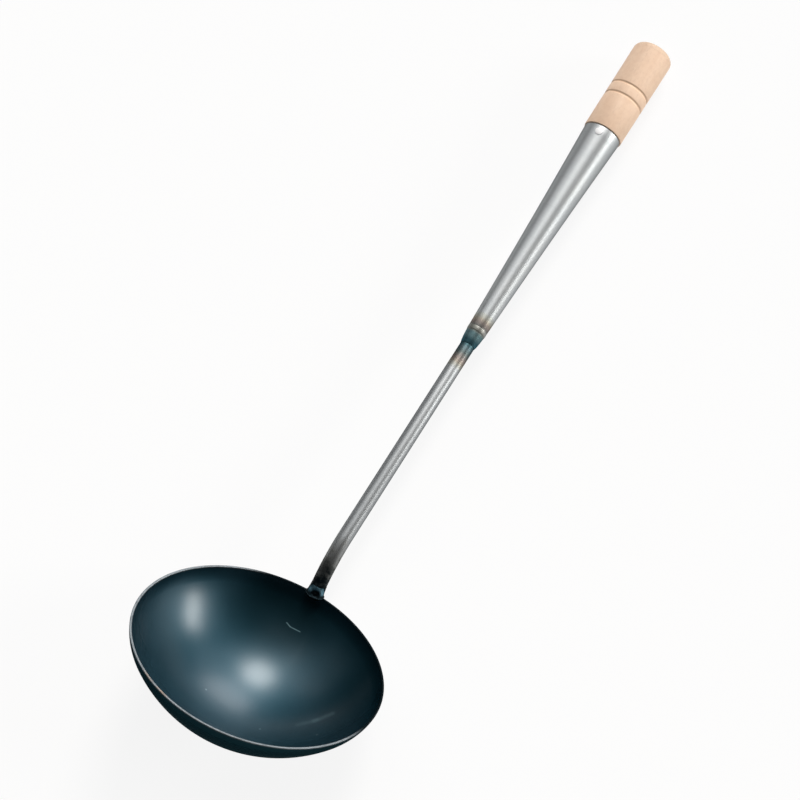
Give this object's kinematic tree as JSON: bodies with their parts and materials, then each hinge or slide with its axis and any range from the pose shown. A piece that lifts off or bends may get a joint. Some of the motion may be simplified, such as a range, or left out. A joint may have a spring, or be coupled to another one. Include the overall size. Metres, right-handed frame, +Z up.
{
  "type": "wok ladle",
  "caption": "Wok ladle with a pressed, blued steel bowl, a bent round bar welded to its rim, and a conical sheet-steel socket holding a turned wooden grip.",
  "frame": {"origin": "under the middle of the lying ladle's box, on the surface that it rests on", "axes": "+X along the handle towards the grip's end, +Y across the bowl, +Z up; the ladle lies on the back of its bowl and on the underside of its grip's end"},
  "size_m": [0.4548, 0.13, 0.0924],
  "materials": {
    "blued_steel": "dark blue-black oxide from heating, satin",
    "bar_steel": "bare steel, satin, with heat tints near both welds",
    "weld_steel": "weld metal, blued by its heat",
    "socket_steel": "bare sheet steel, satin, with a heat tint at its small end",
    "pale_wood": "unlacquered pale hardwood with two burnt grooves",
    "nail_steel": "bright, smooth"
  },
  "bodies": {
    "root": {"bowl": "blued_steel", "handle_rod": "bar_steel", "rim_weld": "weld_steel", "neck_weld": "weld_steel", "socket": "socket_steel", "wood_grip": "pale_wood", "grip_nail": "nail_steel"}
  },
  "joints": []
}
